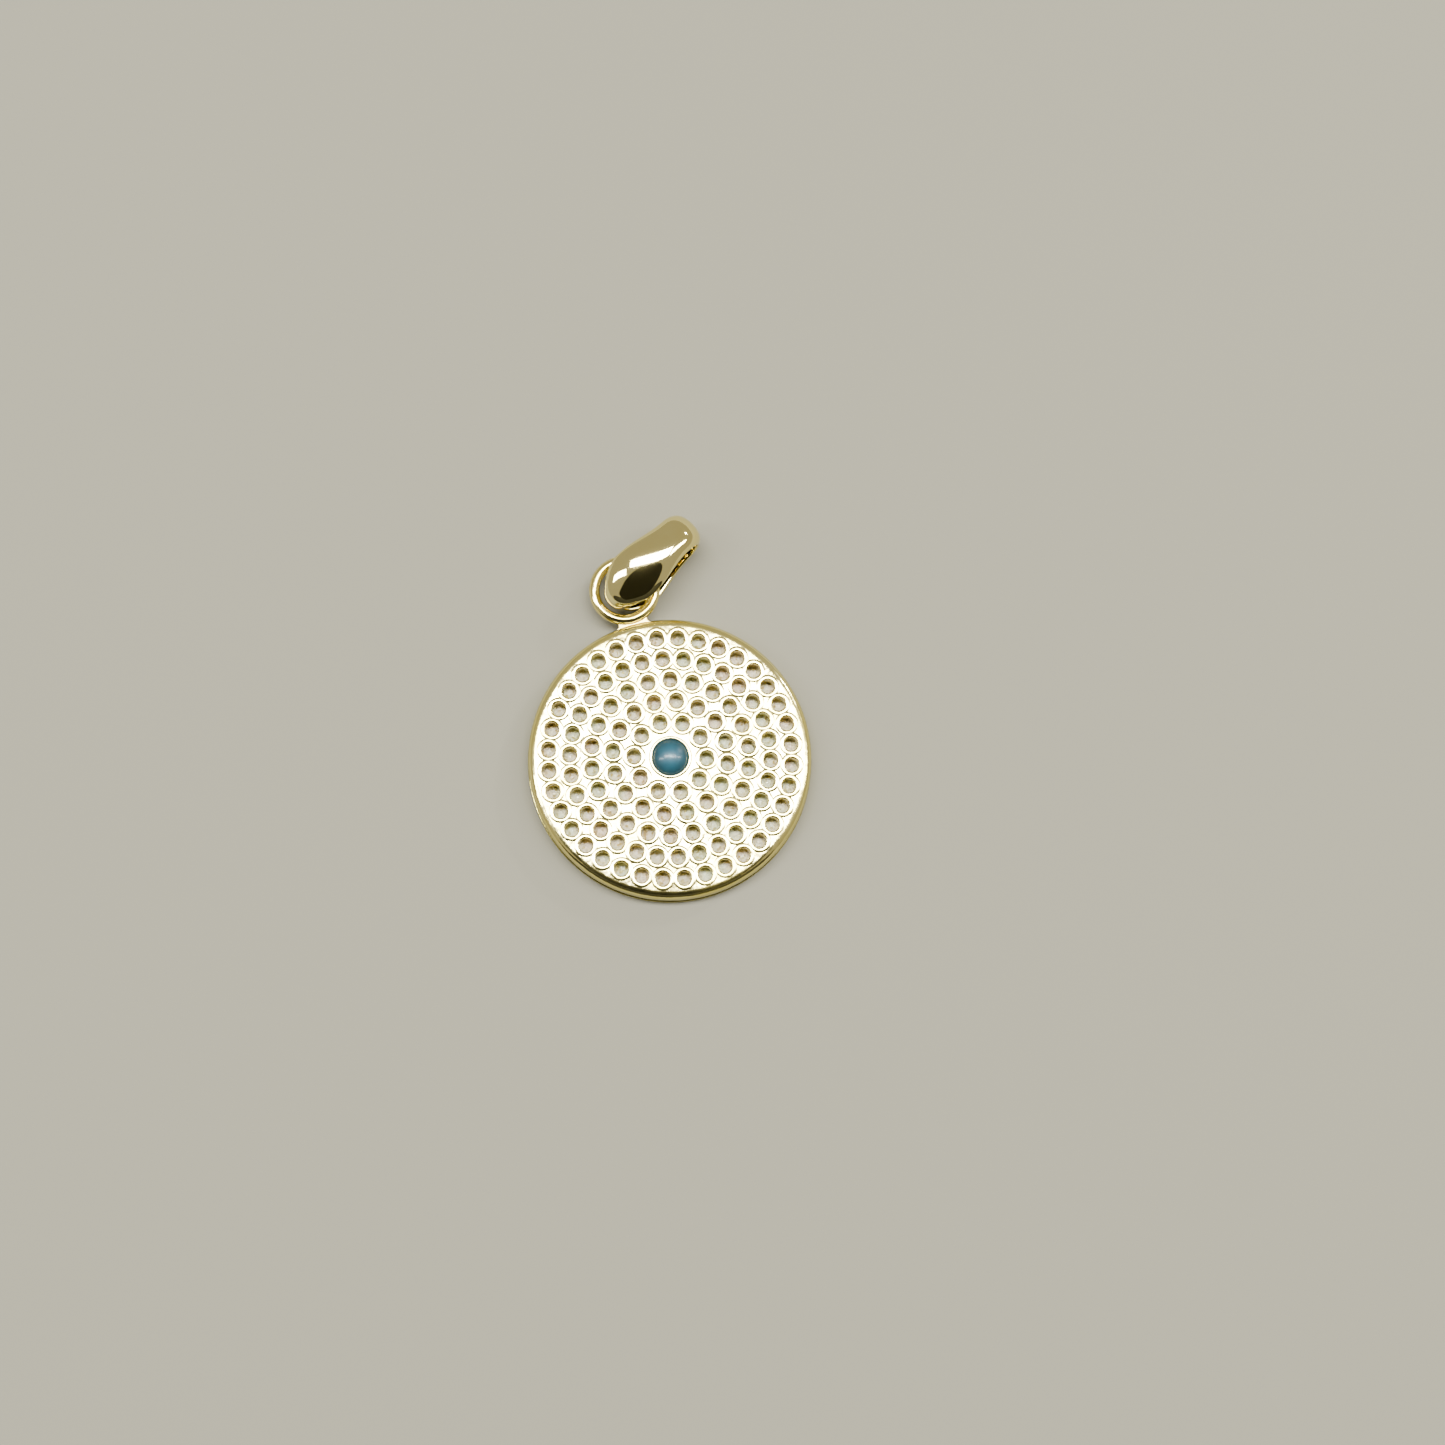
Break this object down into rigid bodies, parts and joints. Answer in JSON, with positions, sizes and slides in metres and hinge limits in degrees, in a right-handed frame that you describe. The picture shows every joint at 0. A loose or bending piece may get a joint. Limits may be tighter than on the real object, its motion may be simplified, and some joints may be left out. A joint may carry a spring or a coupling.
{
  "type": "evil eye pendant",
  "caption": "Small round gold pendant set with rings of tiny clear stones round one blue-green centre stone, with a soldered wire loop and a swinging bail.",
  "frame": {"origin": "centre of the disc, in the plane of the flat front border that it lies on", "axes": "+Z out of the open back of the disc, away from the surface it lies on; +Y from the disc's centre to the wire loop; +X to the right as seen from above"},
  "size_m": [0.0134, 0.0178, 0.0029],
  "materials": {
    "disc_gold": "bright cast and polished 14 carat yellow gold, lightly worn",
    "collar_gold": "polished 14 carat yellow gold",
    "loop_gold": "drawn and polished 14 carat yellow gold wire",
    "solder_gold": "gold solder, slightly paler and duller than the wire",
    "bail_gold": "mirror-polished 14 carat yellow gold",
    "clear_stones": "clear round brilliant stones",
    "eye_stone": "polished, cloudy blue-green domed stone"
  },
  "bodies": {
    "pendant": {"disc": "disc_gold", "centre_collar": "collar_gold", "centre_stone": "eye_stone", "stone_1_1": "clear_stones", "stone_1_2": "clear_stones", "stone_1_3": "clear_stones", "stone_1_4": "clear_stones", "stone_1_5": "clear_stones", "stone_1_6": "clear_stones", "stone_1_7": "clear_stones", "stone_1_8": "clear_stones", "stone_1_9": "clear_stones", "stone_1_10": "clear_stones", "stone_2_1": "clear_stones", "stone_2_2": "clear_stones", "stone_2_3": "clear_stones", "stone_2_4": "clear_stones", "stone_2_5": "clear_stones", "stone_2_6": "clear_stones", "stone_2_7": "clear_stones", "stone_2_8": "clear_stones", "stone_2_9": "clear_stones", "stone_2_10": "clear_stones", "stone_2_11": "clear_stones", "stone_2_12": "clear_stones", "stone_2_13": "clear_stones", "stone_2_14": "clear_stones", "stone_2_15": "clear_stones", "stone_2_16": "clear_stones", "stone_3_1": "clear_stones", "stone_3_2": "clear_stones", "stone_3_3": "clear_stones", "stone_3_4": "clear_stones", "stone_3_5": "clear_stones", "stone_3_6": "clear_stones", "stone_3_7": "clear_stones", "stone_3_8": "clear_stones", "stone_3_9": "clear_stones", "stone_3_10": "clear_stones", "stone_3_11": "clear_stones", "stone_3_12": "clear_stones", "stone_3_13": "clear_stones", "stone_3_14": "clear_stones", "stone_3_15": "clear_stones", "stone_3_16": "clear_stones", "stone_3_17": "clear_stones", "stone_3_18": "clear_stones", "stone_3_19": "clear_stones", "stone_3_20": "clear_stones", "stone_3_21": "clear_stones", "stone_3_22": "clear_stones", "stone_ring_4": "clear_stones", "stone_ring_5": "clear_stones", "loop": "loop_gold", "loop_solder": "solder_gold"},
    "bail": {"bail": "bail_gold"}
  },
  "joints": [
    {"name": "bail_swing", "type": "hinge", "parent": "pendant", "child": "bail", "pos_m": [0, 0.00834, 0.001], "axis": [0, 0, 1], "range_deg": [-25, 147]}
  ]
}
